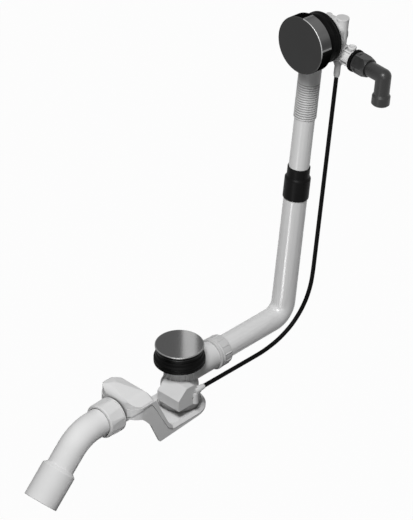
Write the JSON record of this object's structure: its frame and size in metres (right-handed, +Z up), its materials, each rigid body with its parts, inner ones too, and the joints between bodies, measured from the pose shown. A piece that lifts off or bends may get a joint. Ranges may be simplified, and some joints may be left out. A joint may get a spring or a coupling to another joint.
{
  "type": "bath waste and overflow",
  "caption": "Bath pop-up waste with flat trap and swivelling outlet bend, joined by a telescopic pipe and a pull cable to an overflow head with rotary knob and filling elbow.",
  "frame": {"origin": "on the waste axis, in the plane where the underside of the bath floor sits on the waste gasket", "axes": "+Z up along the waste axis; +X from the waste towards the overflow; +Y away from the cable side"},
  "size_m": [0.5702, 0.1783, 0.6008],
  "materials": {
    "lid_metal": "dark satin",
    "knob_metal": "dark satin",
    "flange_steel": "brushed",
    "inner_steel": "plain",
    "inner_plastic": "matt",
    "seal_rubber": "matt",
    "gasket_rubber": "satin",
    "head_gasket_rubber": "satin",
    "waste_plastic": "satin",
    "housing_plastic": "satin",
    "low_ferrule_plastic": "satin",
    "leg_nut_plastic": "satin",
    "lower_pipe_plastic": "satin",
    "sleeve_rubber": "satin",
    "upper_tube_plastic": "satin",
    "tail_plastic": "satin",
    "trap_lower_plastic": "satin",
    "trap_upper_plastic": "satin",
    "outlet_nut_plastic": "satin",
    "bend_plastic": "satin",
    "head_plastic": "satin",
    "head_cover_plastic": "satin",
    "head_cap_plastic": "satin",
    "ring_rubber": "satin",
    "supply_nut_metal": "dark satin",
    "supply_elbow_metal": "dark satin",
    "high_ferrule_plastic": "satin",
    "cable_sheath": "satin"
  },
  "bodies": {
    "fitting": {"waste_flange": "flange_steel", "clamp_screw": "flange_steel", "waste_gasket": "gasket_rubber", "waste_body": "waste_plastic", "trap_seal": "seal_rubber", "lever_housing": "housing_plastic", "low_ferrule": "low_ferrule_plastic", "leg_nut": "leg_nut_plastic", "leg_seal": "seal_rubber", "lower_pipe": "lower_pipe_plastic", "pipe_sleeve": "sleeve_rubber", "upper_tube": "upper_tube_plastic", "ribbed_tail": "tail_plastic", "trap_lower_shell": "trap_lower_plastic", "trap_upper_shell": "trap_upper_plastic", "outlet_nut": "outlet_nut_plastic", "outlet_seal": "seal_rubber", "overflow_flange": "flange_steel", "flange_screws": "inner_steel", "overflow_gasket": "head_gasket_rubber", "overflow_body": "head_plastic", "rear_cover": "head_cover_plastic", "valve_cap": "head_cap_plastic", "vent_plug": "head_cap_plastic", "supply_ring": "ring_rubber", "supply_nut": "supply_nut_metal", "supply_seal": "seal_rubber", "high_ferrule": "high_ferrule_plastic", "pull_cable": "cable_sheath"},
    "plug": {"plug_lid": "lid_metal", "plug_seal": "seal_rubber", "plug_stem": "inner_steel"},
    "lever": {"lift_lever": "inner_plastic", "cable_crank": "inner_plastic"},
    "rotary_knob": {"knob": "knob_metal", "knob_screw": "inner_steel", "knob_spindle": "inner_steel", "cable_drum": "inner_plastic"},
    "outlet": {"outlet_bend": "bend_plastic"},
    "filling_elbow": {"supply_elbow": "supply_elbow_metal"}
  },
  "joints": [
    {"name": "knob_turn", "type": "hinge", "parent": "fitting", "child": "rotary_knob", "pos_m": [0.20424, -0.029, 0.4183], "axis": [0.9903, 0, -0.1392], "range_deg": [0, 46.69]},
    {"name": "lever_swing", "type": "hinge", "parent": "fitting", "child": "lever", "pos_m": [-0.014, 0, -0.0715], "axis": [0, -1, 0], "range_deg": [0, 42.45]},
    {"name": "plug_lift", "type": "slide", "parent": "fitting", "child": "plug", "axis": [0, 0, 1], "range_m": [0, 0.01014]},
    {"name": "outlet_swivel", "type": "hinge", "parent": "fitting", "child": "outlet", "pos_m": [-0.1525, 0, -0.047], "axis": [1, 0, 0], "range_deg": [-90, 90]},
    {"name": "filling_swivel", "type": "hinge", "parent": "fitting", "child": "filling_elbow", "pos_m": [0.26626, -0.099, 0.38535], "axis": [0, 1, 0], "range_deg": [-90, 90]}
  ],
  "couplings": [
    {"joint": "lever_swing", "follows": "knob_turn", "ratio": 0.90812},
    {"joint": "plug_lift", "follows": "knob_turn", "m_per_rad": 0.012426}
  ]
}
